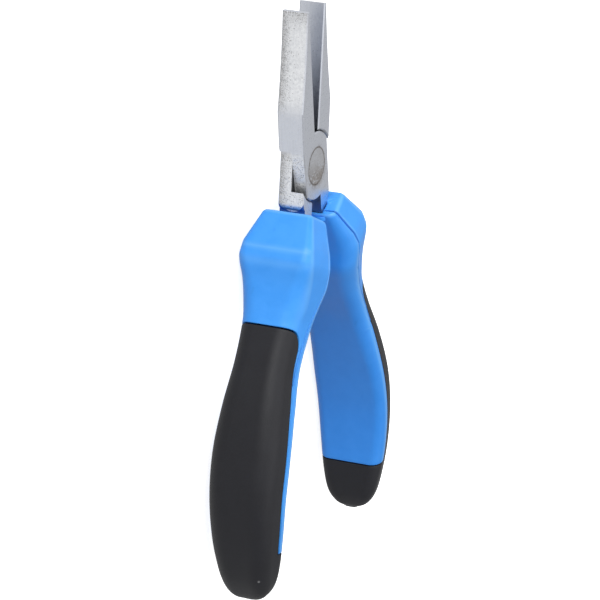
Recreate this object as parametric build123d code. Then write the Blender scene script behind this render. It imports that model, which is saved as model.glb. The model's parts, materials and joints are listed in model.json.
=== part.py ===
from build123d import *
import math
import os

# Flat-nose pliers with two-part handle grips, lying on their side.
# Jaws point to +Y and the front face looks up, to +Z. Lengths are in millimetres.
# Each lever with its grip is modelled closed, the pivot at the origin and the
# handle on the +X side. The second one is the same lever turned over about Y.

# Steel head
head_thickness = 7.4
jaw_reach = 43.8
jaw_tip_width = 1.2
jaw_belly_width = 7.3
jaw_belly_reach = 17.5
jaw_edge_sagitta = 0.45
jaw_gap = 0.06
joint_half_width = 7.5
joint_taper = 1.3
boss_radius = 9.4
boss_clearance = 0.4
lap_clearance = 0.1
shoulder_reach = 11.6
shoulder_round = 1.9
edge_chamfer = 0.3

# Pivot rivet, flared flush into both cheeks
rivet_radius = 5.1
rivet_shank_radius = 3.9
rivet_flare = 1.4
rivet_lip = 0.35
fixed_fit = 0.02
running_fit = 0.05

# Tang, the bare handle end of the lever inside its grip
tang_inner = 1.7
tang_outer = 6.3
tang_fit = 0.05
tang_end_round = 1.2

# Grip
handle_reach = 115.9
grip_bow = 22.3
grip_depth = 12.8
grip_thickness = 21.0
guard_lean = 20.0
round_limit_share = 0.46
pad_thickness = 2.2
pad_top_share = 0.354
pad_tip_length = 12.9
pad_corner_round = 4.5

# Opening of each lever at rest, in degrees
rest_opening = 6.4

# One overrun serves every cut
overrun = 1.0

# Cross-sections of the grip from the guard's top to the tip, one row each:
# inner edge across (of grip_bow), inner edge along (of handle_reach),
# lean (of guard_lean), depth (of grip_depth), half-thickness at the inner and
# at the outer side (of half grip_thickness), and the two corner rounds (of
# those half-thicknesses).
section_shares = [
    (0.040, 0.127, 1.10, 0.73, 0.76, 0.67, 0.14, 0.20),
    (0.178, 0.217, 0.98, 1.12, 1.13, 1.02, 0.18, 0.27),
    (0.196, 0.243, 0.92, 1.12, 1.13, 1.00, 0.18, 0.36),
    (0.210, 0.282, 0.82, 1.08, 1.07, 0.91, 0.17, 0.50),
    (0.310, 0.325, 0.84, 0.98, 0.96, 0.83, 0.18, 0.62),
    (0.430, 0.370, 0.86, 0.90, 0.90, 0.72, 0.20, 0.72),
    (0.650, 0.456, 0.90, 0.88, 0.90, 0.67, 0.25, 0.80),
    (0.807, 0.549, 0.70, 0.96, 0.97, 0.77, 0.25, 0.82),
    (0.933, 0.643, 0.31, 0.98, 1.04, 0.86, 0.25, 0.84),
    (1.000, 0.737, -0.10, 0.95, 1.05, 0.82, 0.25, 0.84),
    (0.964, 0.832, -0.42, 0.90, 0.99, 0.75, 0.28, 0.84),
    (0.879, 0.909, -0.65, 0.83, 0.86, 0.66, 0.32, 0.84),
    (0.834, 0.956, -0.68, 0.67, 0.69, 0.58, 0.42, 0.80),
    (0.861, 0.985, -0.55, 0.43, 0.45, 0.41, 0.55, 0.75),
    (0.910, 0.998, -0.20, 0.20, 0.20, 0.20, 0.60, 0.70),
]
ridge_row = 1
core_first_row = 4
core_last_row = 12

# Places across the grip's depth, one share for each row above
seam_shares = [0.09, 0.07, 0.08, 0.10, 0.15, 0.25, 0.37, 0.42, 0.44, 0.44, 0.46, 0.50, 0.55, 0.60, 0.60]
strip_first_row = 5
strip_shares = [0.56, 0.46, 0.41, 0.37, 0.33, 0.30]
tang_last_row = 10
tang_inner_shares = [0.09, 0.11, 0.13, 0.15, 0.22, 0.27, 0.30, 0.31, 0.31, 0.32, 0.36]
tang_outer_shares = [0.60, 0.47, 0.47, 0.50, 0.60, 0.68, 0.72, 0.70, 0.69, 0.68, 0.62]

half_thickness = head_thickness / 2
half_grip = grip_thickness / 2
pad_top = pad_top_share * handle_reach
pad_tip = handle_reach - pad_tip_length
shoulder_circle = boss_radius + boss_clearance
boss_corner = math.sqrt(boss_radius**2 - joint_half_width**2)


def slab(outline, low, high):
    """A flat outline in XY, given its thickness from low to high."""
    return Pos(0, 0, low) * extrude(outline, amount=high - low, dir=(0, 0, 1))


def inner_point(row):
    """Inner edge of a grip section, in the XY plane."""
    across_share, along_share = section_shares[row][0:2]
    return Vector(across_share * grip_bow, -along_share * handle_reach)


def point_in_depth(row, share, shift=0.0):
    """Point on a section's line at a share of its depth, moved outwards by shift."""
    lean_share, depth_share = section_shares[row][2:4]
    outwards = Vector(1, 0).rotate(Axis.Z, lean_share * guard_lean)
    return inner_point(row) + outwards * (share * depth_share * grip_depth + shift)


def grip_section(row, inset=0.0):
    """One rounded cross-section of the grip, drawn in by inset all round."""
    shares = section_shares[row]
    lean = shares[2] * guard_lean
    depth = shares[3] * grip_depth
    inner_half = shares[4] * half_grip - inset
    outer_half = shares[5] * half_grip - inset
    inner_round = shares[6] * inner_half
    outer_round = shares[7] * outer_half
    outline = Polygon(
        (inset, -inner_half),
        (depth - inset, -outer_half),
        (depth - inset, outer_half),
        (inset, inner_half),
        align=None,
    )
    largest_round = round_limit_share * (depth - 2 * inset)
    outline = fillet(outline.vertices().sort_by(Axis.X)[:2], min(inner_round, largest_round))
    outline = fillet(outline.vertices().sort_by(Axis.X)[-2:], min(outer_round, largest_round))
    across = Vector(1, 0).rotate(Axis.Z, lean)
    plane = Plane(origin=inner_point(row), x_dir=across, z_dir=across.cross(Vector(0, 0, 1)))
    return plane * outline


def grip_envelope():
    """Whole outer form of the grip: the flared guard, then the neck, palm swell and tip."""
    guard = loft([grip_section(row) for row in range(ridge_row + 1)], ruled=True)
    handle = loft([grip_section(row) for row in range(ridge_row, len(section_shares))])
    return guard + handle


def hard_core():
    """Form of the hard grip under the soft pad."""
    rows = range(core_first_row, core_last_row + 1)
    return loft([grip_section(row, pad_thickness) for row in rows])


def pad_zone():
    """Prism that holds the soft pad: outer side, part of both flats, and the tip."""
    rows = range(strip_first_row, strip_first_row + len(strip_shares))
    strip = [point_in_depth(row, share) for row, share in zip(rows, strip_shares)]
    strip[0] = Vector(strip[0].X, -pad_top)
    far_out = grip_bow + 2 * grip_depth
    tip_turn = Vector(inner_point(tang_last_row).X, -pad_tip)
    below = -handle_reach - overrun
    side = Spline(*strip)
    edges = Polyline(
        strip[-1], tip_turn, (0, -pad_tip), (0, below), (far_out, below), (far_out, -pad_top), strip[0]
    )
    outline = make_face(side + edges)
    corner = outline.vertices().sort_by_distance(strip[0])[0]
    outline = fillet(corner, pad_corner_round)
    return slab(outline, -grip_thickness, grip_thickness)


def seam_zone():
    """Prism on the inner side of the seam between the inner liner and the outer shell."""
    rows = range(len(section_shares))
    seam = [point_in_depth(row, share) for row, share in zip(rows, seam_shares)]
    first = seam[0] + Vector(0, grip_depth)
    last = seam[-1] - Vector(0, grip_depth)
    left = -grip_depth
    line = Spline(*seam)
    edges = Polyline(seam[-1], last, (left, last.Y), (left, first.Y), first, seam[0])
    return slab(make_face(line + edges), -grip_thickness, grip_thickness)


def tang_outline(fit=0.0):
    """Lever's tang from the shoulder down into the grip, grown by fit for its pocket."""
    rows = range(tang_last_row + 1)
    inner = [point_in_depth(row, share, -fit) for row, share in zip(rows, tang_inner_shares)]
    outer = [point_in_depth(row, share, fit) for row, share in zip(rows, tang_outer_shares)]
    inner[0] = Vector(tang_inner - fit, inner[0].Y)
    outer[0] = Vector(tang_outer + fit, outer[0].Y)
    start = -boss_radius
    inner_line = Spline(*inner, tangents=[Vector(0, -1), inner[-1] - inner[-2]])
    outer_line = Spline(*outer, tangents=[Vector(0, -1), outer[-1] - outer[-2]])
    end = Line(inner[-1], outer[-1])
    head = Polyline(outer[0], (outer[0].X, start), (inner[0].X, start), inner[0])
    outline = make_face(inner_line + end + outer_line + head)
    corners = outline.vertices().sort_by(Axis.Y)[:2]
    return fillet(corners, tang_end_round)


def joint_side():
    """Side of the joint below the jaw, from its top corner to its foot. It draws in downwards."""
    top = Vector(-joint_half_width, boss_corner + boss_clearance)
    foot = Vector(joint_taper - joint_half_width, -boss_radius)
    return top, foot


def jaw_outline():
    """Left jaw seen from the front, down to the joint's middle."""
    inner = -jaw_gap / 2
    tip_outer = (-jaw_tip_width, jaw_reach)
    belly = (-jaw_belly_width, jaw_belly_reach)
    edge = SagittaArc(tip_outer, belly, jaw_edge_sagitta)
    side_top, side_foot = joint_side()
    middle = side_top + (side_foot - side_top) * (side_top.Y / (side_top.Y - side_foot.Y))
    rest = Polyline(belly, side_top, middle, (inner, 0), (inner, jaw_reach), tip_outer)
    return make_face(edge + rest)


def boss_sides():
    """Strip between the joint's straight sides."""
    side_top, side_foot = joint_side()
    left = (side_top.X, boss_radius)
    right = joint_half_width
    return Polygon(left, side_top, side_foot, (right, -boss_radius), (right, boss_radius), align=None)


def shoulder_outline():
    """Shoulder of the lever below the joint, on the handle's side."""
    outline = Polygon(
        (tang_inner, 0),
        (joint_half_width, 0),
        (joint_half_width, -shoulder_reach),
        (tang_inner, -shoulder_reach),
        align=None,
    )
    corner = outline.vertices().sort_by_distance((joint_half_width, -shoulder_reach))[0]
    return fillet(corner, shoulder_round)


def rivet_solid(fit=0.0):
    """Rivet about Z with its two flared ends, grown by fit for its bore."""
    flare_root = half_thickness - rivet_flare
    flare_top = half_thickness - rivet_lip
    profile = Polygon(
        (0, -half_thickness),
        (rivet_radius + fit, -half_thickness),
        (rivet_radius + fit, -flare_top),
        (rivet_shank_radius + fit, -flare_root),
        (rivet_shank_radius + fit, flare_root),
        (rivet_radius + fit, flare_top),
        (rivet_radius + fit, half_thickness),
        (0, half_thickness),
        align=None,
    )
    return revolve(Plane.XZ * profile, axis=Axis.Z)


def ease_cheek_edges(lever):
    """Chamfer the long edges of both cheeks, from the jaw tip to the shoulder."""
    cheek_edges = []
    for edge in lever.edges():
        box = edge.bounding_box()
        on_cheek = box.size.Z < fixed_fit and abs(abs(box.min.Z) - half_thickness) < fixed_fit
        if on_cheek and edge.length > jaw_tip_width and box.min.Y > -shoulder_reach - fixed_fit:
            cheek_edges.append(edge)
    return chamfer(cheek_edges, edge_chamfer)


def lever_solid(bore_fit):
    """Forged lever: left jaw, upper half of the lap joint, right shoulder and tang."""
    boss = Circle(boss_radius) & boss_sides()
    full = jaw_outline() + shoulder_outline() + tang_outline()
    beyond_joint = full - Circle(shoulder_circle)
    lap_face = lap_clearance / 2
    lever = slab(beyond_joint, -half_thickness, lap_face) + slab(full + boss, lap_face, half_thickness)
    return ease_cheek_edges(lever) - rivet_solid(bore_fit)


def grip_solids():
    """Inner liner, outer shell and soft pad of one grip."""
    envelope = grip_envelope()
    zone = pad_zone()
    pad = (envelope & zone) - hard_core()
    pocket = slab(tang_outline(tang_fit), -half_thickness - tang_fit, half_thickness + tang_fit)
    hard = envelope - pad - pocket
    inner_side = seam_zone()
    return hard & inner_side, hard - inner_side, pad


def place(shape, turned_over):
    """Open one side's lever or grip to its rest angle."""
    if turned_over:
        return Rot(0, 0, -rest_opening) * Rot(0, 180, 0) * shape
    return Rot(0, 0, rest_opening) * shape


def build():
    """Every named piece, at rest, with the whole tool set down on Z = 0."""
    liner, shell, pad = grip_solids()
    pieces = {}
    for side, turned_over in (("front", False), ("back", True)):
        bore_fit = running_fit if turned_over else fixed_fit
        pieces[side + "_lever"] = place(lever_solid(bore_fit), turned_over)
        pieces[side + "_grip_liner"] = place(liner, turned_over)
        pieces[side + "_grip_shell"] = place(shell, turned_over)
        pieces[side + "_grip_pad"] = place(pad, turned_over)
    pieces["pivot_rivet"] = rivet_solid()
    box = Compound(list(pieces.values())).bounding_box()
    middle = (box.min + box.max) / 2
    set_down = Pos(-middle.X, -middle.Y, -box.min.Z)
    return {name: set_down * shape for name, shape in pieces.items()}, set_down.position


os.makedirs("parts", exist_ok=True)
parts, pivot = build()
for name, shape in parts.items():
    export_step(shape, os.path.join("parts", name + ".step"))
    print(name, "volume", round(shape.volume, 1), "solids", len(shape.solids()))
print("pivot at", pivot)
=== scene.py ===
# %% [markdown]
# Flat-nose pliers with bowed two-part grips, lying on their side.
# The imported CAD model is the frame. Its steel levers and rivet stay and get their finishes
# here. The grips are rebuilt finer, because a moulded handle lives from its soft edges and
# from the thin grooves between its parts.

import json
import math

import bmesh
import bpy
from mathutils import Matrix, Vector


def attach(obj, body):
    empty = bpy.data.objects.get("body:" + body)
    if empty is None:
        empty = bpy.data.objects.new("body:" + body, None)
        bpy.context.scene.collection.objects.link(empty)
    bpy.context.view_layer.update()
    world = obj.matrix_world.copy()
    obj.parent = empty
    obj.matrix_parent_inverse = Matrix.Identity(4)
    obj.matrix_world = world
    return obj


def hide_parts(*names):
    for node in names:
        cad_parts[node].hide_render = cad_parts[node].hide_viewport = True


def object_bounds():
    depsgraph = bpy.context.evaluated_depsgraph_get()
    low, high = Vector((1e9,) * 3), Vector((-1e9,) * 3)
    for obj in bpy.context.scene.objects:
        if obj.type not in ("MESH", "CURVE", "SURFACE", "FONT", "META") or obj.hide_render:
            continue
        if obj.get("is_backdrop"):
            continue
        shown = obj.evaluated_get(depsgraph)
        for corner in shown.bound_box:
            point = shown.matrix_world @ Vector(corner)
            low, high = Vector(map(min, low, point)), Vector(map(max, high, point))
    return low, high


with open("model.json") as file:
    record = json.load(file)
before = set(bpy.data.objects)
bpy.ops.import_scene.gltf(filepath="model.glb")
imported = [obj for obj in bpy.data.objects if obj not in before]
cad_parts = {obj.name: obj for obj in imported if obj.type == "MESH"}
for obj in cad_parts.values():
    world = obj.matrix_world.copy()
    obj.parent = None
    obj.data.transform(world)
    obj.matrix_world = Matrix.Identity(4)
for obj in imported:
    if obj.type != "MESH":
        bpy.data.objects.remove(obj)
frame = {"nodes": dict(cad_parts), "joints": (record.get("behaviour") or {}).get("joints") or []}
cad_box = [list(corner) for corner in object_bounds()]
nodes = frame["nodes"]
pivot = Vector(frame["joints"][0]["pos_m"])
print("nodes:", sorted(nodes), "pivot:", tuple(round(v, 5) for v in pivot))

# %% [markdown]
# The camera looks at the tool from the side of its left handle, well above the floor and
# rolled over, so that the jaws point up in the picture. A long lens keeps the perspective
# weak, so that the near handle isn't much larger than the far one. The camera aims at a point
# 38 mm from the pivot, towards the handles.

# %% Camera
camera_distance = 0.8891
camera_azimuth = math.radians(158.341)
camera_elevation = math.radians(22.709)
camera_roll = math.radians(98.897)
camera_aim = pivot + Vector((-0.00231, -0.03788, 0))
lens_mm, sensor_mm = 197.05, 36

flat_part = math.cos(camera_elevation)
towards_camera = Vector(
    (flat_part * math.cos(camera_azimuth), flat_part * math.sin(camera_azimuth), math.sin(camera_elevation))
)
lens_data = bpy.data.cameras.new("camera")
lens_data.lens = lens_mm
lens_data.sensor_width = sensor_mm
camera = bpy.data.objects.new("camera", lens_data)
camera_turn = (-towards_camera).to_track_quat("-Z", "Y").to_matrix()
camera_turn = camera_turn @ Matrix.Rotation(camera_roll, 3, "Z")
camera_place = camera_aim + towards_camera * camera_distance
camera.matrix_world = Matrix.Translation(camera_place) @ camera_turn.to_4x4()
bpy.context.collection.objects.link(camera)
bpy.context.scene.camera = camera
print("camera at", tuple(round(v, 4) for v in camera.matrix_world.translation))

# %% [markdown]
# The picture is a catalogue shot: a white ground, and light from large soft boxes. The main
# one hangs beyond the jaws on the camera's side, so every face that leans towards the jaws is
# bright and the inner sides of the handles fall off. Wide lamps at a modest power keep the
# spot soft that a shiny cheek mirrors, though seen from above it still goes white.

# %% Lamps
def soft_box(name, place, size, power):
    """A round lamp that looks at the tool: its size in metres, its power in watts."""
    data = bpy.data.lights.new(name, "AREA")
    data.shape = "DISK"
    data.size = size
    data.energy = power
    lamp = bpy.data.objects.new(name, data)
    lamp.location = place
    lamp.rotation_mode = "QUATERNION"
    lamp.rotation_quaternion = (camera_aim - Vector(place)).to_track_quat("-Z", "Y")
    bpy.context.collection.objects.link(lamp)
    print("lamp", name, "at", place, "power", power)


soft_box("key", (-0.75, 0.95, 0.55), 0.9, 9)
soft_box("top", (-0.1, 0.1, 1.3), 1.4, 5)

# %% [markdown]
# The room, the floor and the finishes are all mixed from nodes. They could be joined by hand
# in the shader editor, but a script can be read and repeated. One helper makes a node, sets it
# and joins its inputs. The others each stand for one sum that comes up again and again.

# %% Helpers for nodes
def node(tree, kind, inputs=(), **settings):
    """A new node with its settings; inputs are plain values or other nodes' outputs."""
    made = tree.nodes.new("ShaderNode" + kind)
    for name, value in settings.items():
        setattr(made, name, value)
    for key, value in dict(inputs).items():
        if isinstance(value, bpy.types.NodeSocket):
            tree.links.new(value, made.inputs[key])
        else:
            made.inputs[key].default_value = value
    return made


def maths(tree, operation, a, b=0.0):
    """One sum of one or two values."""
    return node(tree, "Math", {0: a, 1: b}, operation=operation).outputs[0]


def product(tree, first, *others):
    """All the values multiplied: masks that must hold together, or a mask and its strength."""
    for value in others:
        first = maths(tree, "MULTIPLY", first, value)
    return first


def ramp(tree, value, low, high, start=0.0, end=1.0):
    """Smooth step of a value from low to high."""
    inputs = {"Value": value, "From Min": low, "From Max": high, "To Min": start, "To Max": end}
    return node(tree, "MapRange", inputs, interpolation_type="SMOOTHSTEP").outputs["Result"]


def choose(tree, ray, otherwise, chosen):
    """One value for a kind of ray, and another for the rest."""
    return node(tree, "Mix", {"Factor": ray, "A": otherwise, "B": chosen}).outputs["Result"]


print("helpers for nodes are ready")

# %% [markdown]
# Steel shows what stands round it, so the room matters as much as the lamps. It is a plain
# grey gradient over the looking direction: pale where the steel's side faces mirror it, and
# duller on the far side, which gives the front of the head its calmer tone. A photographed
# room would do as well, but it needs a file. Plain light and mirrored light have a gradient
# each, and the camera itself sees pure white.

# %% Room
world = bpy.data.worlds.new("studio")
world.use_nodes = True
room = world.node_tree
looking = node(room, "SeparateXYZ", {0: node(room, "TexCoord").outputs["Generated"]}).outputs
rays = node(room, "LightPath").outputs
plain_light = product(
    room,
    ramp(room, looking["Y"], -0.9, 0.9, 0.25, 0.85),
    ramp(room, looking["X"], -0.6, 0.9, 1.0, 0.7),
)
mirrored_light = product(
    room,
    ramp(room, looking["X"], -0.2, 0.75, 1.0, 0.74),
    ramp(room, looking["Y"], -0.8, 0.4, 0.65, 1.0),
)
level = choose(room, rays["Is Glossy Ray"], plain_light, mirrored_light)
level = choose(room, rays["Is Camera Ray"], level, 1.0)
sky = room.nodes["Background"]
sky.inputs["Color"].default_value = (1, 1, 1, 1)
room.links.new(level, sky.inputs["Strength"])
bpy.context.scene.world = world
bpy.context.scene.view_settings.view_transform = "Standard"
print("room:", len(room.nodes), "nodes")

# %% [markdown]
# Every finish has the same start: a Principled BSDF with its plain values set. Patterns are
# laid out in object coordinates, which don't slide over a piece when it moves with its lever.

# %% A helper for new materials
def new_finish(name, **sockets):
    """A material whose shader has the given plain values. Returns it with its node tree."""
    material = bpy.data.materials.new(name)
    material.use_nodes = True
    shader = material.node_tree.nodes["Principled BSDF"]
    for socket, value in sockets.items():
        shader.inputs[socket.replace("_", " ")].default_value = value
    return material, material.node_tree, shader


print("a finish starts from a Principled BSDF")

# %% [markdown]
# The floor is a plain white sheet. The camera sees it as pure white, so that it meets the
# white room without a line. Steel that mirrors it sees a mid grey, and for plain light it is
# duller too, so that it doesn't lift the undersides.

# %% Floor
floor_half = 3
floor_form = bmesh.new()
bmesh.ops.create_grid(floor_form, x_segments=1, y_segments=1, size=floor_half)
floor_mesh = bpy.data.meshes.new("floor")
floor_form.to_mesh(floor_mesh)
floor_form.free()
floor = bpy.data.objects.new("floor", floor_mesh)
bpy.context.collection.objects.link(floor)
white = (1, 1, 1, 1)
floor_finish, floor_tree, floor_shader = new_finish("white_ground", Roughness=0.95, Emission_Color=white)
floor_rays = node(floor_tree, "LightPath").outputs


def floor_level(plain, seen, mirrored):
    """A grey of the floor for plain light, for the camera, and for what mirrors it."""
    grey = choose(floor_tree, floor_rays["Is Camera Ray"], plain, seen)
    return choose(floor_tree, floor_rays["Is Glossy Ray"], grey, mirrored)


floor_tree.links.new(floor_level(0.6, 1.0, 0.15), floor_shader.inputs["Base Color"])
floor_tree.links.new(floor_level(0.0, 0.8, 0.66), floor_shader.inputs["Emission Strength"])
floor_mesh.materials.append(floor_finish)
floor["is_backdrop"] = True
print("floor:", tuple(round(v, 2) for v in floor.dimensions), "m")

# %% [markdown]
# The grip is one long form: a flared guard, a narrow neck, a palm swell and a round tip.
# Its cross-section is a box with a flat inner side and a rounded outer side. It could be
# pulled out of a cube by eye, but with a table each size can be read and set. The rows below
# give that section at stations along the closed lever, pivot at zero, handle on +X, in mm:
# how far along, how far across its inner edge lies, the lean of its depth line in degrees,
# its depth, half its thickness at the inner and at the outer side, and the two corner rounds.

# %% Stations of the grip
guard_top, ridge, neck, swell, tip, tip_cap = 14.7, 25.1, 37.7, 85.4, 115.6, 0.5
stations = [
    (guard_top, 0.89, 22.0, 9.3, 8.0, 7.0, 1.1, 1.4),
    (ridge, 3.96, 19.6, 14.3, 11.8, 10.7, 1.9, 2.6),
    (28.2, 4.36, 18.4, 14.3, 11.8, 10.5, 1.9, 3.6),
    (32.7, 4.68, 16.4, 13.8, 11.2, 9.5, 1.9, 4.8),
    (neck, 6.92, 16.8, 12.5, 10.1, 8.7, 2.0, 5.4),
    (42.9, 9.60, 17.2, 11.5, 9.45, 7.6, 2.0, 5.3),
    (52.9, 14.5, 18.0, 11.3, 9.45, 7.0, 2.3, 5.2),
    (63.6, 18.0, 14.0, 12.3, 10.2, 8.1, 2.5, 5.6),
    (74.5, 20.8, 6.2, 12.5, 10.9, 9.0, 2.7, 5.8),
    (swell, 22.3, -2.0, 12.2, 11.0, 8.6, 2.7, 5.6),
    (96.4, 21.5, -8.4, 11.5, 10.4, 7.9, 2.8, 5.3),
    (105.4, 19.6, -13.0, 10.6, 9.0, 6.9, 2.9, 4.9),
    (110.8, 18.6, -13.6, 8.6, 7.2, 6.1, 2.9, 3.9),
    (114.2, 19.2, -11.0, 5.5, 4.7, 4.3, 2.3, 2.5),
    (tip, 20.3, -4.0, 2.6, 2.1, 2.1, 1.1, 1.1),
]


def on_curve(table, along):
    """Values of a table at a place along it, on a smooth curve through its rows."""
    last = len(table) - 1
    k = 0
    while k < last - 1 and table[k + 1][0] < along:
        k += 1
    low, high = table[k], table[k + 1]
    span = high[0] - low[0]
    t = min(max((along - low[0]) / span, 0.0), 1.0)
    # the guard's top is a straight cone, so the curve starts at the ridge
    before = table[k - 1] if k > 1 else low
    after = table[k + 2] if k + 2 <= last else high
    if k == 0:
        before, after = low, high
    values = []
    for column in range(1, len(low)):
        rise = (high[column] - low[column]) / span
        start = rise if before is low else (high[column] - before[column]) / (high[0] - before[0])
        end = rise if after is high else (after[column] - low[column]) / (after[0] - low[0])
        a, b = low[column], high[column]
        values.append(
            (2 * t**3 - 3 * t**2 + 1) * a
            + (t**3 - 2 * t**2 + t) * span * start
            + (3 * t**2 - 2 * t**3) * b
            + (t**3 - t**2) * span * end
        )
    return values


print("section at the swell:", [round(v, 2) for v in on_curve(stations, swell)])

# %% [markdown]
# A place on the section is given by a number from 0 to 4: 0 to 1 runs from the middle of the
# inner side to the end of the inner corner, 1 to 3 along the flat side, and 3 to 4 round the
# outer corner to the middle of the outer side. A negative number is the same on the other
# side of the grip. Each corner is a true arc, so the grid keeps even cells round it.

# %% A point on a section
arc_from, arc_to = 0.6, 3.75


def corner_arc(corner, towards_a, towards_b, radius, share):
    """Point at a share of a corner's round, in the plane of the section."""
    half_angle = math.acos(max(-1, min(1, towards_a.dot(towards_b)))) / 2
    middle = (towards_a + towards_b).normalized()
    centre = corner + middle * (radius / math.sin(half_angle))
    reach = radius / math.tan(half_angle)
    start = corner + towards_a * reach - centre
    end = corner + towards_b * reach - centre
    turn = start.angle_signed(end)
    return centre + Matrix.Rotation(-turn * share, 2) @ start


def section_point(values, place, softer=0.0):
    """Point of the section at a place, x in depth and y in thickness. softer widens the inner round."""
    across, lean, depth, inner_half, outer_half, inner_round, outer_round = values
    inner_round += softer
    inner_corner, outer_corner = Vector((0, inner_half)), Vector((depth, outer_half))
    side = (outer_corner - inner_corner).normalized()
    down = Vector((0, -1))
    where = abs(place)
    if where < 1:
        end = corner_arc(inner_corner, down, side, inner_round, 0)
        if where < arc_from:
            point = Vector((0, end.y * where / arc_from))
        else:
            share = (where - arc_from) / (1 - arc_from)
            point = corner_arc(inner_corner, down, side, inner_round, share)
    elif where < 3:
        start = corner_arc(inner_corner, down, side, inner_round, 1)
        end = corner_arc(outer_corner, -side, down, outer_round, 0)
        point = start.lerp(end, (where - 1) / 2)
    else:
        point = corner_arc(outer_corner, -side, down, outer_round, min(1.0, (where - 3) / (arc_to - 3)))
        if where > arc_to:
            point = Vector((depth, point.y * (4 - where) / (4 - arc_to)))
    return Vector((point.x, -point.y if place < 0 else point.y))


def on_lever(values, flat):
    """A point of a section, in the frame of the closed lever."""
    lean = math.radians(values[1])
    return Vector((flat.x * math.cos(lean), flat.x * math.sin(lean), flat.y))


print("outer side at the swell:", round(section_point(on_curve(stations, swell), 4).x, 2), "mm out")

# %% [markdown]
# One flank of the moulding is softer where it meets the inner side, perhaps for the thumb.
# That side has a wider round from the guard down to the palm swell.

# %% A point of the grip's outside
thumb_side = [(guard_top, 1.4), (ridge, 2.8), (neck, 2.4), (52.9, 1.2), (74.5, 0.3), (tip, 0.0)]


def straight(table, along):
    """Value of a table at a place along it, on straight runs between its rows."""
    for (low, a), (high, b) in zip(table, table[1:]):
        if along <= high:
            return a + (b - a) * max(0.0, (along - low) / (high - low))
    return table[-1][1]


def form_point(along, place):
    """Point of the grip's form before its ridge is softened, in the frame of the closed lever, in mm."""
    values = on_curve(stations, along)
    flat = section_point(values, place, straight(thumb_side, along) if place > 0 else 0.0)
    if along > tip:
        shrink = math.sqrt(max(0.0, 1 - ((along - tip) / tip_cap) ** 2))
        flat = Vector((values[2] / 2 + (flat.x - values[2] / 2) * shrink, flat.y * shrink))
    return Vector((values[0], -along, 0)) + on_lever(values, flat)


ridge_blend = 2.6


def grip_point(along, place):
    """Point of the grip's outer form. Near the guard's ridge it is a mean over a short stretch."""
    blend = ridge_blend * max(0.0, 1 - abs(along - ridge) / (2 * ridge_blend))
    if blend == 0:
        return form_point(along, place)
    before, after = form_point(along - blend, place), form_point(along + blend, place)
    return (before + form_point(along, place) + after) / 3


print("corner of the ridge:", tuple(round(v, 2) for v in grip_point(ridge, 1)))

# %% [markdown]
# The guard's top is closed round the tang. Its outside rolls over a lip, runs a little way
# inwards, not quite even, as moulded lips are, and drops into a narrow slot beside the steel.
# The slot could be cut with a boolean, but that leaves sharp edges and uneven cells. Here the
# same grid runs on over the lip and down into the slot.

# %% A point of the guard's top
lip_round, slot_round, slot_depth = 1.0, 0.4, 2.2
slot_inner, slot_outer, slot_half = 0.72, 5.25, 3.85
squareness = 10
slot_end, rim_start = 0.4, 0.6


def curve_between(a, corner, b, t):
    """Point on a round from a to b that would meet in the corner."""
    return a * (1 - t) ** 2 + corner * (2 * t * (1 - t)) + b * t**2


def slot_point(place):
    """Edge of the slot for the tang, in the plane of the guard's top, opposite a place on the rim."""
    values = on_curve(stations, guard_top)
    middle = Vector(((slot_inner + slot_outer) / 2, 0))
    ray = section_point(values, place) - middle
    reach = (abs(ray.x) / (slot_outer - middle.x)) ** squareness + (abs(ray.y) / slot_half) ** squareness
    flat = middle + ray * min(0.94, reach ** (-1 / squareness))
    return Vector((values[0], -guard_top, 0)) + on_lever(values, flat)


def top_point(share, place):
    """Point of the guard's top: share 0 at the foot of the slot, 1 where the outside begins."""
    outside = grip_point(guard_top + lip_round, place)
    rim, slot = grip_point(guard_top, place), slot_point(place)
    inwards = (slot - rim).normalized()
    run = (slot - rim).length
    lip_end = rim + inwards * min(lip_round, run * 0.4)
    slot_start = slot - inwards * min(slot_round, run * 0.3)
    slot_start.y += 0.1 * math.sin(11 * place) + 0.08 * math.sin(19 * place + 1)
    foot = slot - Vector((0, slot_depth, 0))
    if share > rim_start:
        return curve_between(lip_end, rim, outside, (share - rim_start) / (1 - rim_start))
    if share > slot_end:
        return slot_start.lerp(lip_end, (share - slot_end) / (rim_start - slot_end))
    return curve_between(foot, slot, slot_start, share / slot_end)


print("slot beside the tang:", tuple(round(v, 2) for v in slot_point(4)))

# %% [markdown]
# The form is worked out for a closed lever in millimetres, and the tool lies open at rest. So
# each grip is turned about the pivot by the opening. The other grip is the same moulding
# turned over, which keeps the two alike as the real pair is.

# %% Place on the tool
rest_opening = math.radians(6.4)


def lever_to_tool(turned_over):
    """Matrix from the closed lever in mm to the tool in metres."""
    turn = Matrix.Rotation(-rest_opening if turned_over else rest_opening, 4, "Z")
    if turned_over:
        turn = turn @ Matrix.Rotation(math.pi, 4, "Y")
    return Matrix.Translation(pivot) @ turn @ Matrix.Scale(0.001, 4)


def add_piece(name, form, body, slot, finish, *replaced):
    """Turns a bmesh into a piece that rides on a body."""
    mesh = bpy.data.meshes.new(name)
    form.to_mesh(mesh)
    form.free()
    mesh.shade_smooth()
    piece = bpy.data.objects.new(name, mesh)
    bpy.context.collection.objects.link(piece)
    mesh.materials.append(finish)
    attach(piece, body)
    if replaced:
        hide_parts(*replaced)
    print(name, "faces:", len(mesh.polygons))
    return piece


print("each lever is open by", round(math.degrees(rest_opening), 1), "degrees")

# %% [markdown]
# The soft pad, the outer shell and the inner liner are skins on that one form, each a patch
# of a grid that is wrapped round the grip. Cutting one finished form along its seams would
# leave ragged faces, so the grid's columns follow the seam and the pad's edge from the start.
# Two tables say where they run: along the lever, and the place on the section.

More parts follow.
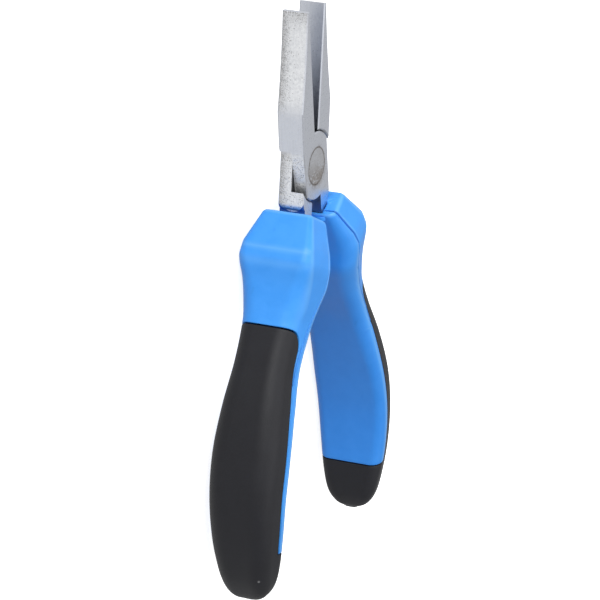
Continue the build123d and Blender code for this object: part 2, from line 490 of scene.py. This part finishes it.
# %% Seam and pad edge
pad_top, pad_end, tail_end = 39.2, 101.3, 56.5
corner_long, corner_deep, half_gap = 8.5, 12.0, 0.13
pad_edge = [
    (pad_top, 2.05),
    (42.9, 2.05),
    (52.9, 1.82),
    (63.6, 1.62),
    (74.5, 1.50),
    (85.4, 1.42),
    (96.4, 1.36),
    (pad_end, 1.34),
]
seam = [
    (guard_top, 0.92),
    (ridge, 0.98),
    (32.7, 1.04),
    (42.9, 1.30),
    (52.9, 1.50),
    (tail_end, 1.56),
    (58.5, 1.9),
]
print("pad from", pad_top, "to", pad_end, "mm along the lever")

# %% [markdown]
# The parts don't touch: each one stops a hair before the line, so a thin dark joint stays
# between them, as on the real moulding. The grid's rows fall into five runs: the guard's top,
# the guard down to the pad, the pad down to the end of the shell's tail, the palm swell, and
# the cap round the tip. Small helpers say where each row and column lies.

# %% The wrapped grid
columns_inner, columns_wedge, columns_outer = 24, 5, 40
half_columns = columns_inner + columns_wedge + columns_outer
edge_column = columns_inner + columns_wedge
row_counts = [14, 44, 22, 40, 24]
starts = [sum(row_counts[:n]) for n in range(len(row_counts) + 1)]
rows_total = starts[-1]
cap_row, top_row, tail_row, end_row = starts[1:5]
print("grid:", 2 * half_columns, "columns,", rows_total, "rows")

# %% [markdown]
# Two questions place a point of the grid: where its column lies on the section, and how far
# along the lever its row lies. Columns squeeze together or spread out to stay on the seam and
# on the pad's edge. Rows run level across the grip, and the top corner of the pad is rounded
# by bending the rows beside it.

# %% Columns and rows
def place_step(along, place, distance):
    """How much a place on the section changes over a distance in mm."""
    values = on_curve(stations, along)
    step = (section_point(values, place + 0.01) - section_point(values, place)).length
    return 0.01 * distance / step


def edge_place(part, along):
    """Place of the pad's edge, seen from one of the parts beside it."""
    edge = straight(pad_edge, along)
    return edge + place_step(along, edge, half_gap) * (1 if part == "pad" else -1)


def column_place(part, column, along):
    """Place on the section of a column, which follows the seam and the pad's edge."""
    index, along = abs(column), max(along, guard_top)
    edge = edge_place(part, along)
    line = min(straight(seam, along), straight(pad_edge, along))
    line += place_step(along, line, half_gap) * (1 if part == "shell" else -1)
    if part == "pad":
        line = edge
    if index <= columns_inner:
        place = line * index / columns_inner
    elif index <= edge_column:
        place = line + (edge - line) * (index - columns_inner) / columns_wedge
    else:
        place = edge + (4 - edge) * (index - edge_column) / columns_outer
    return math.copysign(place, column)


def level_row(part, column, level, corner):
    """How far along a row lies that runs level across the grip, rounded off next to the pad's edge."""
    level += half_gap if part == "pad" else -half_gap
    place = abs(column_place(part, column, level))
    values = on_curve(stations, level)
    out = section_point(values, place).x
    along = level + out * math.sin(math.radians(values[1]))
    if corner:
        beside = max(0.0, out - section_point(values, edge_place(part, level)).x)
        short = max(0.0, corner_deep - beside) / corner_deep
        along += corner_long * (1 - math.sqrt(1 - short**2))
    return along


def row_along(part, row, column):
    """How far along the closed lever a grid point lies. Rows of the guard's top give a share below 1."""
    if row < cap_row:
        return row / cap_row
    marks = [guard_top + lip_round, level_row(part, column, pad_top, True), tail_end]
    marks[2] = max(tail_end, marks[1] + 1)
    marks += [level_row(part, column, pad_end, False), tip + tip_cap]
    k = max(n for n in range(4) if starts[n + 1] <= row)
    share = (row - starts[k + 1]) / (starts[k + 2] - starts[k + 1])
    if k == 3:
        share = math.sin(share * math.pi / 2)
    return marks[k] + (marks[k + 1] - marks[k]) * share


print("pad's corner:", corner_long, "mm long and", corner_deep, "mm deep")

# %% [markdown]
# Moulded plastic shows its ridges as thin pale lines, since a narrow edge catches the lamp.
# Here those lines are a painted highlight: a number on every point tells how near such a line
# is, and the finish paints it paler there. It is cheaper than a real ridge, and it keeps the
# form smooth.

# %% Painted highlight lines
def crest(off, width):
    """1 on a line, falling off smoothly over a width."""
    return math.exp(-((off / width) ** 2))


def highlight_line(along, place):
    """How near a point lies to a painted highlight line: 1 on it, 0 away from it."""
    if along < 1:
        return crest(along - 0.8, 0.15)
    where = abs(place)
    on_guard = max(0.0, min(1.0, (neck + 6 - along) / 10))
    on_outside = max(0.0, min(1.0, (where - 3.0) / 0.3))
    past_ridge = along - ridge + 0.9 * (where - 4) ** 2
    return max(
        crest(where - 0.98, 0.05),
        0.8 * on_guard * crest(where - 3.1, 0.14),
        0.8 * on_outside * crest(past_ridge + 0.6, 0.6),
        0.45 * on_outside * crest(past_ridge - 3.0, 1.0),
    )


print("lines are strongest at the ridge,", ridge, "mm along the lever")

# %% [markdown]
# Now the grid can be wrapped. Blender makes it flat, from -1 to 1 both ways. The cells of the
# other parts are cut away, every point moves to its place on the grip, and points that fall
# together are welded: where the two ends of the grid meet, and at the tip. In the end all
# faces are turned to look outwards.

# %% Wrap a patch
weld_reach = 0.004


def wrapped_patch(part, keep):
    """One part's cells of the grid, wrapped round the grip and welded."""
    patch = bmesh.new()
    bmesh.ops.create_grid(patch, x_segments=2 * half_columns, y_segments=rows_total, size=1)
    cut = []
    for face in patch.faces:
        middle = face.calc_center_median()
        if not keep(abs(middle.x) * half_columns, (middle.y + 1) / 2 * rows_total):
            cut.append(face)
    bmesh.ops.delete(patch, geom=cut, context="FACES")
    # the attribute called edge holds the painted highlight lines
    highlight_layer = patch.verts.layers.float.new("edge")
    for vert in patch.verts:
        column = round(vert.co.x * half_columns)
        row = round((vert.co.y + 1) / 2 * rows_total)
        along = row_along(part, row, column)
        place = column_place(part, column, along)
        vert.co = top_point(along, place) if row < cap_row else grip_point(along, place)
        vert[highlight_layer] = highlight_line(along, place)
    bmesh.ops.remove_doubles(patch, verts=patch.verts, dist=weld_reach)
    bmesh.ops.recalc_face_normals(patch, faces=patch.faces)
    outwards = sum((f.calc_center_median() - grip_middle(f)).dot(f.normal) for f in patch.faces)
    if outwards < 0:
        bmesh.ops.reverse_faces(patch, faces=patch.faces)
    return patch


def grip_middle(face):
    """Middle of the grip beside a face."""
    middle = face.calc_center_median()
    values = on_curve(stations, min(max(-middle.y, guard_top), tip))
    return Vector((values[0] + values[2] / 2, middle.y, 0))


print("points nearer than", weld_reach, "mm are welded")

# %% [markdown]
# Which cells a part keeps is one plain rule each. The liner has the columns up to the seam.
# The shell has the outside above the pad, and a tail that runs down beside it. The pad has the
# outside below its top edge, and the whole tip. Below the tail the seam has met the pad's edge,
# so the columns between them have no width there, and no part keeps them.

# %% Cells of the three parts
def in_liner(column, row):
    return column < columns_inner and row < end_row


def in_shell(column, row):
    wedge = columns_inner < column < edge_column and row < tail_row
    return wedge or (column > edge_column and row < top_row)


def in_pad(column, row):
    return (column > edge_column and row > top_row) or row > end_row


print("the liner takes", 2 * columns_inner, "of", 2 * half_columns, "columns")

# %% [markdown]
# Every surface has a fine unevenness, and many have small marks. Photographs of them would need
# unwrapped pieces and would show seams. Patterns from noise have none and stay sharp close up.
# Each is a node group, built once and used in several finishes at its own scale.

# %% Helpers for patterns
def new_pattern(name, inputs, output):
    """An empty node group with a vector input called Place, float inputs and one float output."""
    group = bpy.data.node_groups.new(name, "ShaderNodeTree")
    group.interface.new_socket("Place", in_out="INPUT", socket_type="NodeSocketVector")
    for label, value in inputs.items():
        socket = group.interface.new_socket(label, in_out="INPUT", socket_type="NodeSocketFloat")
        socket.default_value = value
    group.interface.new_socket(output, in_out="OUTPUT", socket_type="NodeSocketFloat")
    start, end = group.nodes.new("NodeGroupInput"), group.nodes.new("NodeGroupOutput")
    return group, start.outputs, end.inputs[output]


def pattern(tree, group, place, **inputs):
    """One use of a pattern in a finish. Returns its value."""
    made = tree.nodes.new("ShaderNodeGroup")
    made.node_tree = group
    tree.links.new(place, made.inputs["Place"])
    for label, value in inputs.items():
        if isinstance(value, bpy.types.NodeSocket):
            tree.links.new(value, made.inputs[label])
        else:
            made.inputs[label].default_value = value
    return made.outputs[0]


def scaled(group, place, factors):
    """A place with each axis drawn out or squeezed."""
    return node(group, "VectorMath", {0: place, 1: factors}, operation="MULTIPLY").outputs[0]


print("helpers for patterns are ready")

# %% [markdown]
# Grain is the fine unevenness of every surface. Two noises, one coarse and one fine, are
# mixed into one value around a half.

# %% Pattern: grain
finer = 3.7
grain, grain_in, grain_out = new_pattern("grain", {"Scale": 900.0}, "Value")
coarse_look = {"Vector": grain_in["Place"], "Scale": grain_in["Scale"], "Detail": 3.0}
coarse = node(grain, "TexNoise", coarse_look)
fine_look = {"Vector": grain_in["Place"], "Scale": product(grain, grain_in["Scale"], finer), "Detail": 2.0}
fine = node(grain, "TexNoise", fine_look)
both = maths(grain, "ADD", coarse.outputs["Fac"], fine.outputs["Fac"])
grain.links.new(product(grain, both, 0.5), grain_out)
print("grain group:", len(grain.nodes), "nodes")

# %% [markdown]
# Specks are small separate marks: pits in blasted steel, dust on rubber. A Voronoi cell gives
# each a centre, and its random colour decides whether the cell holds one. Share is how many do.
# The place is shifted a little by a noise first, so that no speck comes out as a clean disc.

# %% Pattern: specks
shift_reach = 0.0006
specks_start = {"Scale": 600.0, "Share": 0.3, "Size": 0.3}
specks, specks_in, specks_out = new_pattern("specks", specks_start, "Mask")
wobble_look = {"Vector": specks_in["Place"], "Scale": specks_in["Scale"], "Detail": 2.0}
wobble = node(specks, "TexNoise", wobble_look)
shift = scaled(specks, wobble.outputs["Color"], (shift_reach, shift_reach, shift_reach))
moved = node(specks, "VectorMath", {0: specks_in["Place"], 1: shift}, operation="ADD").outputs[0]
cells = node(specks, "TexVoronoi", {"Vector": moved, "Scale": specks_in["Scale"]}).outputs
fade = {"Value": cells["Distance"], "From Max": specks_in["Size"], "To Min": 1.0, "To Max": 0.0}
dot = node(specks, "MapRange", fade).outputs["Result"]
lot = node(specks, "SeparateColor", {"Color": cells["Color"]}).outputs[0]
chosen = maths(specks, "LESS_THAN", lot, specks_in["Share"])
specks.links.new(product(specks, dot, chosen), specks_out)
print("specks group:", len(specks.nodes), "nodes")

# %% [markdown]
# Marks are thin strokes: grinding lines and light scratches. A noise that is stretched many
# times over along the tool leaves long streaks, and only its highest crests are kept.

# %% Pattern: marks
crest_fade = 0.08
marks, marks_in, marks_out = new_pattern("marks", {"Scale": 300.0, "Along": 0.03, "Keep": 0.6}, "Mask")
squeezed = {"X": 1.0, "Y": marks_in["Along"], "Z": 1.0}
streak_place = scaled(marks, marks_in["Place"], node(marks, "CombineXYZ", squeezed).outputs[0])
streaks = node(marks, "TexNoise", {"Vector": streak_place, "Scale": marks_in["Scale"], "Detail": 2.0})
full = maths(marks, "ADD", marks_in["Keep"], crest_fade)
kept = {"Value": streaks.outputs["Fac"], "From Min": marks_in["Keep"], "From Max": full}
marks.links.new(node(marks, "MapRange", kept).outputs["Result"], marks_out)
print("marks group:", len(marks.nodes), "nodes")

# %% [markdown]
# A finish has to know where a point of the tool lies: how far along from the pivot, how high
# over the middle of the head, and which way its face looks. These few values are worked out
# once for each finish. Outwards is above zero on the outer sides of the levers, below zero on
# the faces between the jaws, and about zero on the cheeks.

# %% Where a point lies
half_head = 0.0037


def away_from(tree, value, centre):
    """How far a value lies from a centre, to either side."""
    return maths(tree, "ABSOLUTE", maths(tree, "SUBTRACT", value, centre))


def find_place(tree):
    """What a finish can ask about a point of the tool. Lengths are in metres, from the pivot."""
    coordinates = node(tree, "TexCoord").outputs
    spot = node(tree, "SeparateXYZ", {0: coordinates["Object"]}).outputs
    facing = node(tree, "SeparateXYZ", {0: coordinates["Normal"]}).outputs
    across = maths(tree, "SUBTRACT", spot["X"], pivot.x)
    along = maths(tree, "SUBTRACT", spot["Y"], pivot.y)
    squares = maths(tree, "ADD", product(tree, across, across), product(tree, along, along))
    return {
        "place": coordinates["Object"],
        "along": along,
        "height": maths(tree, "SUBTRACT", spot["Z"], pivot.z),
        "off_middle": away_from(tree, spot["Z"], pivot.z),
        "from_pivot": maths(tree, "SQRT", squares),
        "sideways": maths(tree, "ABSOLUTE", facing["X"]),
        "outwards": product(tree, facing["X"], across),
        "upwards": maths(tree, "ABSOLUTE", facing["Z"]),
    }


print("half the head's thickness:", half_head, "m")

# %% [markdown]
# A finish is mixed like paint: it starts from one colour, and every stain, line or shade is a
# tint over the last one, as strong as its mask. Dents too small to model are left to a bump,
# which only tilts the light on the surface.

# %% Helpers for finishes
def mix_colour(tree, share, first, second):
    """The first colour with a share of the second in it."""
    return node(tree, "Mix", {0: share, 6: first, 7: second}, data_type="RGBA").outputs[2]


def tinted(tree, colour, *tints):
    """A colour with tints laid over it one after another, each a share and its own colour."""
    for share, tint in tints:
        colour = mix_colour(tree, share, colour, tint)
    return colour


def bump_from(tree, height, distance):
    """Small dents and swells from a value, without moving the surface."""
    return node(tree, "Bump", {"Height": height, "Distance": distance}).outputs["Normal"]


print("a finish is one colour and its tints")

# %% [markdown]
# The head is forged carbon steel. Its outer sides are blasted: a bright, finely pitted skin
# whose pits crowd along the back edge and at the tip, where a painted shade also darkens it.
# From the jaw's belly down to the joint, and on the front, it is ground smooth, with a cooler
# tone. The faces between the jaws get a painted shade with dirt in it, darker towards the
# throat, where little light gets in and dirt stays, and the eased long edges are duller. Each
# skin could be a material on faces picked by hand, but then it ends in a hard line. Here masks
# tell the skins apart, by where a point lies and where its face looks.

# %% Finish: steel
belly, belly_fade = 0.0175, 0.004
joint_run, tip_run, throat_run = (0.006, 0.004), (0.036, 0.0438), (0.042, 0.011)
pit_scale, pit_size, pit_depth = 3600.0, 0.75, 0.00006


def steel_skin(name):
    """Satin steel with its blasted sides: the finish, its nodes, its colour, and its places."""
    finish, tree, shader = new_finish(name, Metallic=1.0)
    at = find_place(tree)
    side_face = ramp(tree, at["sideways"], 0.6, 0.85)
    outside = product(tree, side_face, ramp(tree, at["outwards"], -0.001, 0.001))
    between = product(tree, side_face, ramp(tree, at["outwards"], 0.001, -0.001))
    above_belly = ramp(tree, at["along"], belly - belly_fade, belly + belly_fade)
    below_joint = ramp(tree, at["along"], *joint_run)
    blasted = product(tree, outside, maths(tree, "MAXIMUM", above_belly, below_joint))

    to_back = ramp(tree, at["height"], 0.001, -half_head)
    to_tip = ramp(tree, at["along"], *tip_run)
    # where the pits crowd; the same mask sets the painted shade of the blasted sides
    pit_crowd_and_shade = maths(tree, "MAXIMUM", to_back, product(tree, to_tip, 0.8))
    pit_crowd_and_shade = product(tree, pit_crowd_and_shade, pit_crowd_and_shade)
    share = maths(tree, "ADD", product(tree, pit_crowd_and_shade, 0.85), 0.02)
    share = maths(tree, "MAXIMUM", share, product(tree, below_joint, 0.22))
    pits = pattern(tree, specks, at["place"], Scale=pit_scale, Share=share, Size=pit_size)
    pits = product(tree, pits, blasted)

    uneven = pattern(tree, grain, at["place"], Scale=1300.0)
    tone = ramp(tree, uneven, 0.3, 0.7)
    ground_colour = mix_colour(tree, tone, (0.64, 0.67, 0.735, 1), (0.69, 0.715, 0.775, 1))
    blasted_colour = mix_colour(tree, tone, (0.72, 0.735, 0.76, 1), (0.90, 0.91, 0.925, 1))
    ground_lines = pattern(tree, marks, at["place"], Scale=2600.0, Keep=0.52)
    # painted shade with dirt in it: the faces between the jaws darker towards the throat
    throat_shade_and_dirt = maths(tree, "POWER", ramp(tree, at["along"], *throat_run), 2.2)
    throat_shade_and_dirt = product(tree, between, maths(tree, "ADD", product(tree, throat_shade_and_dirt, 0.48), 0.10))
    eased = ramp(tree, at["sideways"], 0.25, 0.4)
    eased = product(tree, eased, ramp(tree, at["sideways"], 0.92, 0.8))
    colour = tinted(
        tree,
        mix_colour(tree, blasted, ground_colour, blasted_colour),
        (product(tree, ground_lines, 0.10), (0.42, 0.44, 0.48, 1)),
        # painted shade and dirt between the jaws
        (throat_shade_and_dirt, (0.13, 0.14, 0.165, 1)),
        # painted shade on the blasted sides, darker towards the back edge and the tip
        (product(tree, blasted, pit_crowd_and_shade, 0.45), (0.30, 0.30, 0.31, 1)),
        (product(tree, eased, 0.55), (0.22, 0.23, 0.26, 1)),
        (product(tree, pits, 0.9), (0.10, 0.095, 0.09, 1)),
    )

    rough = maths(tree, "ADD", product(tree, blasted, 0.16), ramp(tree, uneven, 0.3, 0.7, 0.26, 0.38))
    height = product(tree, uneven, maths(tree, "ADD", product(tree, blasted, 1.6), 0.25))
    height = maths(tree, "SUBTRACT", height, product(tree, pits, 0.8))
    tree.links.new(rough, shader.inputs["Roughness"])
    tree.links.new(bump_from(tree, height, pit_depth), shader.inputs["Normal"])
    return finish, tree, shader, colour, at


print("steel is blasted from", belly, "m above the pivot")

# %% [markdown]
# The rivet is peened flush and ground with the cheek, so only a brown line round its head
# tells it apart, with old grease in the line and a few stains below it. The stains lie on the
# cheek too, so the lever's finish gets them with the same measure: distance from the pivot.
# A painted shade, with black oil in it, sits in the joint itself: in the arc beside the boss
# and along the lap, where the gaps are dark. All of it could be painted on the mesh, but a
# distance places it exactly and needs no picture.

# %% Stains and painted shade at the joint
ring_radius, boss_gap, lap_end = 0.0051, 0.0096, 0.0105


def joint_stains(tree, at, colour):
    """Adds the ring of grease, the stains round the rivet, and the painted shade and oil in the joint's
    gaps to a steel colour.
    """
    uneven = pattern(tree, grain, at["place"], Scale=420.0)
    on_cheek = ramp(tree, at["off_middle"], 0.0033, 0.0036)
    off_ring = away_from(tree, at["from_pivot"], ring_radius)
    ring = ramp(tree, maths(tree, "ADD", off_ring, product(tree, uneven, 0.0004)), 0.0006, 0.0002)
    near = ramp(tree, at["from_pivot"], 0.0075, 0.004)
    low = ramp(tree, at["along"], 0.002, -0.005)
    patches = ramp(tree, uneven, 0.43, 0.53)
    stain = product(tree, near, maths(tree, "ADD", product(tree, low, 0.8), 0.15), patches)
    by_ring = ramp(tree, off_ring, 0.0009, 0.0002)
    dots = pattern(tree, specks, at["place"], Scale=1400.0, Share=0.4, Size=0.6)
    dots = product(tree, dots, maths(tree, "MAXIMUM", product(tree, near, low), by_ring))

    arc = ramp(tree, away_from(tree, at["from_pivot"], boss_gap), 0.0005, 0.0003)
    arc = product(tree, arc, ramp(tree, at["off_middle"], 0.0035, 0.0025))
    lap = ramp(tree, at["off_middle"], 0.0004, 0.0002)
    lap = product(tree, lap, ramp(tree, at["from_pivot"], lap_end + 0.001, lap_end))
    not_outer = ramp(tree, at["outwards"], 0.003, 0.001)
    # painted shade of the joint's gaps, with oil in it
    gap_shade_and_oil = product(tree, not_outer, maths(tree, "MAXIMUM", arc, lap))
    return tinted(
        tree,
        colour,
        # painted shade and oil in the joint's gaps
        (product(tree, gap_shade_and_oil, 0.9), (0.03, 0.03, 0.032, 1)),
        (product(tree, stain, on_cheek, 0.85), (0.27, 0.225, 0.19, 1)),
        (product(tree, ring, on_cheek, 0.9), (0.16, 0.13, 0.11, 1)),
        (product(tree, dots, on_cheek, 0.85), (0.09, 0.08, 0.075, 1)),
    )


print("ring of grease at", ring_radius, "m from the pivot")

# %% [markdown]
# The foot of the real shoulder is rounded like a U, and the blue of the guard shows beside it.
# In the solids that foot is straight with one rounded corner, so a painted dark blue on its
# corners stands in for the guard's blue in shade that would be seen past the round. A foot
# rounded in the solids would be truer, but the lever's mesh came out open. So this is only
# colour, a painted shade: the steel keeps its shape.

# %% Painted shade at the shoulder's foot
foot_low, foot_rise, foot_curve = -0.0110, 0.0026, 2.4


def painted_foot_shade(tree, at):
    """Mask of the painted dark blue shade below the U of the shoulder's foot, on its outer side."""
    bow = maths(tree, "POWER", maths(tree, "DIVIDE", at["off_middle"], half_head), foot_curve)
    line = maths(tree, "ADD", product(tree, bow, foot_rise), foot_low)
    below = ramp(tree, maths(tree, "SUBTRACT", line, at["along"]), 0.0, 0.00015)
    outer = ramp(tree, at["outwards"], -0.0006, 0.0)
    not_cheek = ramp(tree, at["upwards"], 0.9, 0.8)
    return product(tree, below, outer, not_cheek)


lever_finish, lever_tree, lever_shader, lever_colour, lever_at = steel_skin("lever_steel")
foot_shade = painted_foot_shade(lever_tree, lever_at)
lever_colour = joint_stains(lever_tree, lever_at, lever_colour)
# painted shade: the dark blue of the guard in shade, as seen past a rounded foot
lever_colour = tinted(lever_tree, lever_colour, (foot_shade, (0.018, 0.085, 0.32, 1)))
lever_tree.links.new(lever_colour, lever_shader.inputs["Base Color"])
lever_tree.links.new(maths(lever_tree, "SUBTRACT", 1.0, foot_shade), lever_shader.inputs["Metallic"])
print("lever steel:", len(lever_tree.nodes), "nodes")

# %% [markdown]
# The rivet is steel too, a little greyer and warmer than the levers. It has a finish of its
# own for that tone, with the same stains over it. The two levers share one finish, because
# they are the same forging.

# %% Finish of the rivet
rivet_finish, rivet_tree, rivet_shader, rivet_colour, rivet_at = steel_skin("rivet_steel")
rivet_colour = tinted(rivet_tree, rivet_colour, (0.35, (0.50, 0.49, 0.48, 1)))
rivet_colour = joint_stains(rivet_tree, rivet_at, rivet_colour)
rivet_tree.links.new(rivet_colour, rivet_shader.inputs["Base Color"])
for name, finish in (
    ("front_lever", lever_finish),
    ("back_lever", lever_finish),
    ("pivot_rivet", rivet_finish),
):
    nodes[name].data.materials.clear()
    nodes[name].data.materials.append(finish)
    print(name, "gets", finish.name)

# %% [markdown]
# The hard part of the grip is a satin blue moulding. Its colour drifts a little over the
# surface, its edges get a painted highlight, a paler line, and handling has left a few scuffs.
# An attribute called edge, written when the skin is built, tells how near a point is to such a
# line. The sides that look at the other handle get a painted shade of deeper blue. One flat
# colour would be simpler, but it looks unreal close up.

# %% Finish: blue moulding
peel_depth = 0.00003
blue_finish, blue_tree, blue_shader = new_finish("blue_moulding", Specular_IOR_Level=0.4)
blue_at = find_place(blue_tree)
# how near a point lies to a painted highlight line
painted_edge_highlight = node(blue_tree, "Attribute", attribute_name="edge").outputs["Fac"]
drift = pattern(blue_tree, grain, blue_at["place"], Scale=70.0)
peel = pattern(blue_tree, grain, blue_at["place"], Scale=1500.0)
scuffs = pattern(blue_tree, marks, blue_at["place"], Scale=260.0, Along=0.12, Keep=0.70)
blue_specks = pattern(blue_tree, specks, blue_at["place"], Scale=330.0, Share=0.03, Size=0.10)
# painted shade: the sides that look at the other handle are darker
inner_side_shade = ramp(blue_tree, blue_at["outwards"], 0.0, -0.015)
even_blue = ramp(blue_tree, drift, 0.38, 0.62)
blue = tinted(
    blue_tree,
    mix_colour(blue_tree, even_blue, (0.043, 0.325, 0.93, 1), (0.054, 0.350, 0.97, 1)),
    (ramp(blue_tree, peel, 0.35, 0.65, 0.0, 0.10), (0.10, 0.42, 1.0, 1)),
    # painted highlight: a paler line along the edges and ridges
    (product(blue_tree, painted_edge_highlight, 0.5), (0.20, 0.54, 1.0, 1)),
    # painted shade on the sides that look at the other handle
    (product(blue_tree, inner_side_shade, 0.34), (0.012, 0.17, 0.66, 1)),
    (product(blue_tree, scuffs, 0.22), (0.02, 0.13, 0.42, 1)),
    (product(blue_tree, blue_specks, 0.45), (0.01, 0.08, 0.28, 1)),
)
blue_rough = ramp(blue_tree, drift, 0.35, 0.65, 0.34, 0.44)
blue_rough = maths(blue_tree, "ADD", blue_rough, product(blue_tree, scuffs, 0.12))
blue_tree.links.new(blue, blue_shader.inputs["Base Color"])
blue_tree.links.new(blue_rough, blue_shader.inputs["Roughness"])
blue_tree.links.new(bump_from(blue_tree, peel, peel_depth), blue_shader.inputs["Normal"])
print("blue moulding:", len(blue_tree.nodes), "nodes")

# %% [markdown]
# The pad is soft black rubber with a matt, very fine skin. Its roughness changes a little with
# that skin, since an even one would look like lacquer. It gathers dust: a few pale specks.

# %% Finish: black rubber
rubber_depth = 0.00004
black_finish, black_tree, black_shader = new_finish("black_rubber", Specular_IOR_Level=0.37)
black_place = node(black_tree, "TexCoord").outputs["Object"]
black_drift = pattern(black_tree, grain, black_place, Scale=60.0)
black_grain = pattern(black_tree, grain, black_place, Scale=2200.0)
dust = pattern(black_tree, specks, black_place, Scale=170.0, Share=0.12, Size=0.09)
even_black = ramp(black_tree, black_drift, 0.35, 0.65)
black = tinted(
    black_tree,
    mix_colour(black_tree, even_black, (0.0042, 0.0045, 0.0080, 1), (0.0060, 0.0064, 0.0105, 1)),
    (ramp(black_tree, black_grain, 0.45, 0.7, 0.0, 0.22), (0.025, 0.026, 0.029, 1)),
    (product(black_tree, dust, 0.8), (0.32, 0.32, 0.33, 1)),
)
black_rough = ramp(black_tree, black_grain, 0.35, 0.65, 0.46, 0.56)
black_tree.links.new(black, black_shader.inputs["Base Color"])
black_tree.links.new(black_rough, black_shader.inputs["Roughness"])
black_tree.links.new(bump_from(black_tree, black_grain, rubber_depth), black_shader.inputs["Normal"])
print("black rubber:", len(black_tree.nodes), "nodes")

# %% [markdown]
# A moulded edge is never knife-sharp. The wall behind it could be modelled as a second skin,
# but a modifier makes it in one go and marks the rims, and a second modifier rolls only those
# rims. Both stay live, so the thickness and the roll can still be changed.

# %% Build both grips
skin, edge_round = 0.0014, 0.0002


def finish_edges(piece):
    """Gives a skin its thickness and rolls its rims."""
    rims = piece.vertex_groups.new(name="rims").name
    wall = piece.modifiers.new("wall", "SOLIDIFY")
    wall.thickness = skin
    wall.offset = -1
    wall.rim_vertex_group = rims
    roll = piece.modifiers.new("rolled_rims", "BEVEL")
    roll.width = edge_round
    roll.segments = 3
    roll.limit_method = "VGROUP"
    roll.vertex_group = rims
    roll.use_clamp_overlap = False


for side, turned_over in (("front", False), ("back", True)):
    for part, keep, slot, finish in (
        ("liner", in_liner, "grip_plastic", blue_finish),
        ("shell", in_shell, "grip_plastic", blue_finish),
        ("pad", in_pad, "grip_rubber", black_finish),
    ):
        form = wrapped_patch(part, keep)
        bmesh.ops.transform(form, matrix=lever_to_tool(turned_over), verts=form.verts)
        piece = add_piece(side + "_" + part, form, side, slot, finish, side + "_grip_" + part)
        finish_edges(piece)

# %% [markdown]
# The last step writes down the box of the CAD model and the box of the dressed one, so that
# anyone can see how closely the looks keep to the size of the part.

# %% Sizes
visual_box = [list(corner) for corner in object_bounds()]
for name, box in (("cad", cad_box), ("visual", visual_box)):
    print(name, "box mm:", [[round(v * 1000, 2) for v in corner] for corner in box])
